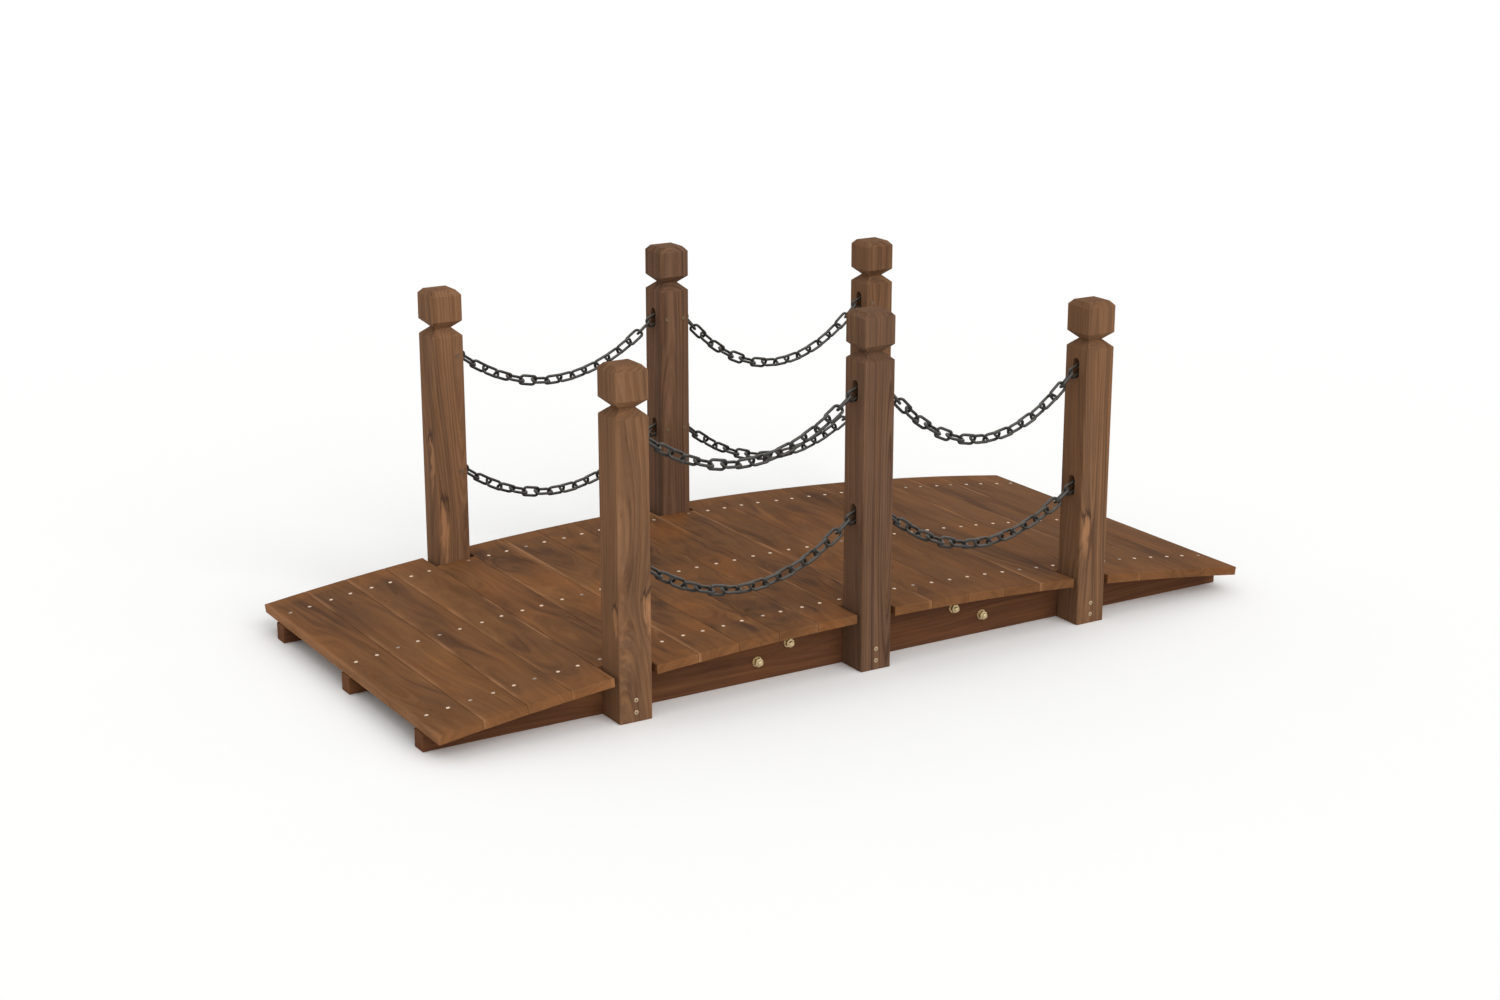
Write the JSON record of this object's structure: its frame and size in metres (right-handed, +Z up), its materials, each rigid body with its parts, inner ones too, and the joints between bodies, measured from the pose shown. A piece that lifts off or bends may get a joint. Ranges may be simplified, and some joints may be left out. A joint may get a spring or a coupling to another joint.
{
  "type": "wooden garden bridge",
  "caption": "Arched wooden garden bridge with cross boards on bolted bearers and square capped posts that carry hanging chain rails.",
  "frame": {"origin": "middle of the bridge on the ground, under the crown", "axes": "+X along the bridge, +Y across it to the back rail, +Z up"},
  "size_m": [1.5, 0.6836, 0.572],
  "materials": {
    "deck_wood": "brown stain, matt",
    "bearer_wood": "brown stain, matt",
    "post_wood": "brown stain, matt",
    "chain_steel": "black, satin",
    "pin_steel": "yellow zinc"
  },
  "bodies": {
    "root": {"deck_board_01": "deck_wood", "deck_board_02": "deck_wood", "deck_board_03": "deck_wood", "deck_board_04": "deck_wood", "deck_board_05": "deck_wood", "deck_board_06": "deck_wood", "deck_board_07": "deck_wood", "deck_board_08": "deck_wood", "deck_board_09": "deck_wood", "deck_board_10": "deck_wood", "deck_board_11": "deck_wood", "deck_board_12": "deck_wood", "deck_board_13": "deck_wood", "deck_board_14": "deck_wood", "deck_board_15": "deck_wood", "deck_board_16": "deck_wood", "deck_board_17": "deck_wood", "deck_board_18": "deck_wood", "deck_board_19": "deck_wood", "deck_board_20": "deck_wood", "deck_board_21": "deck_wood", "bearer_front_left": "bearer_wood", "bearer_front_right": "bearer_wood", "bearer_middle_left": "bearer_wood", "bearer_middle_right": "bearer_wood", "bearer_back_left": "bearer_wood", "bearer_back_right": "bearer_wood", "splice_plate_front": "bearer_wood", "splice_plate_middle": "bearer_wood", "splice_plate_back": "bearer_wood", "post_front_left": "post_wood", "post_front_middle": "post_wood", "post_front_right": "post_wood", "post_back_left": "post_wood", "post_back_middle": "post_wood", "post_back_right": "post_wood", "chain_front_left_upper": "chain_steel", "chain_front_left_lower": "chain_steel", "chain_front_right_upper": "chain_steel", "chain_front_right_lower": "chain_steel", "chain_back_left_upper": "chain_steel", "chain_back_left_lower": "chain_steel", "chain_back_right_upper": "chain_steel", "chain_back_right_lower": "chain_steel", "chain_pins": "pin_steel"}
  },
  "joints": []
}
